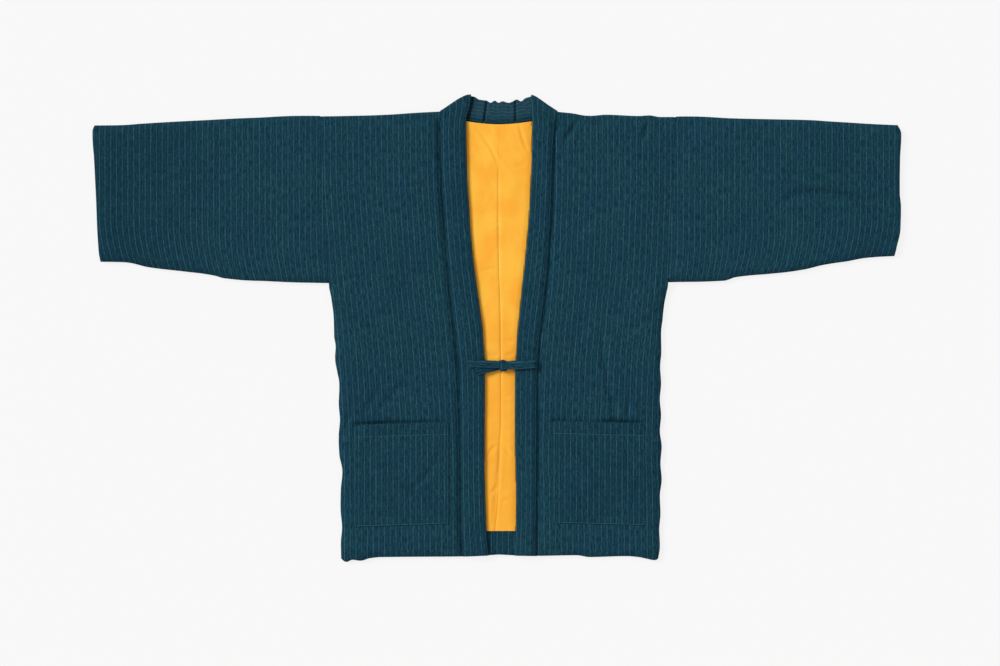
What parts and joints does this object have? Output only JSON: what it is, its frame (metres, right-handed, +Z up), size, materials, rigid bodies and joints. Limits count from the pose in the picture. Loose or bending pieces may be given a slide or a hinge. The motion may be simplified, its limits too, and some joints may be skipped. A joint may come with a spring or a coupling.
{
  "type": "hanten",
  "caption": "Padded hip-length jacket laid flat and face up: straight wide sleeves, collar band from hem to hem, patch pockets, an orange lining in the opening and narrow front ties in a bow.",
  "frame": {"origin": "on the surface that the jacket lies on, under the middle of its bounding box", "axes": "+Z up from the surface, +Y from the hem towards the neck, +X towards the sleeve at the right when seen from above"},
  "size_m": [1.3386, 0.774, 0.023],
  "materials": {
    "outer_cloth": "matte striped cotton, woven, padded",
    "lining_cloth": "smooth plain weave"
  },
  "bodies": {
    "root": {"body_left": "outer_cloth", "body_right": "outer_cloth", "sleeve_left": "outer_cloth", "sleeve_right": "outer_cloth", "collar": "outer_cloth", "lining_left": "lining_cloth", "lining_right": "lining_cloth", "hem_facing": "outer_cloth", "pocket_left": "outer_cloth", "pocket_right": "outer_cloth", "tie_left": "outer_cloth", "tie_right": "outer_cloth", "bow_tail_left": "outer_cloth", "bow_tail_right": "outer_cloth", "bow_loop_left": "outer_cloth", "bow_loop_right": "outer_cloth", "bow_knot": "outer_cloth"}
  },
  "joints": []
}
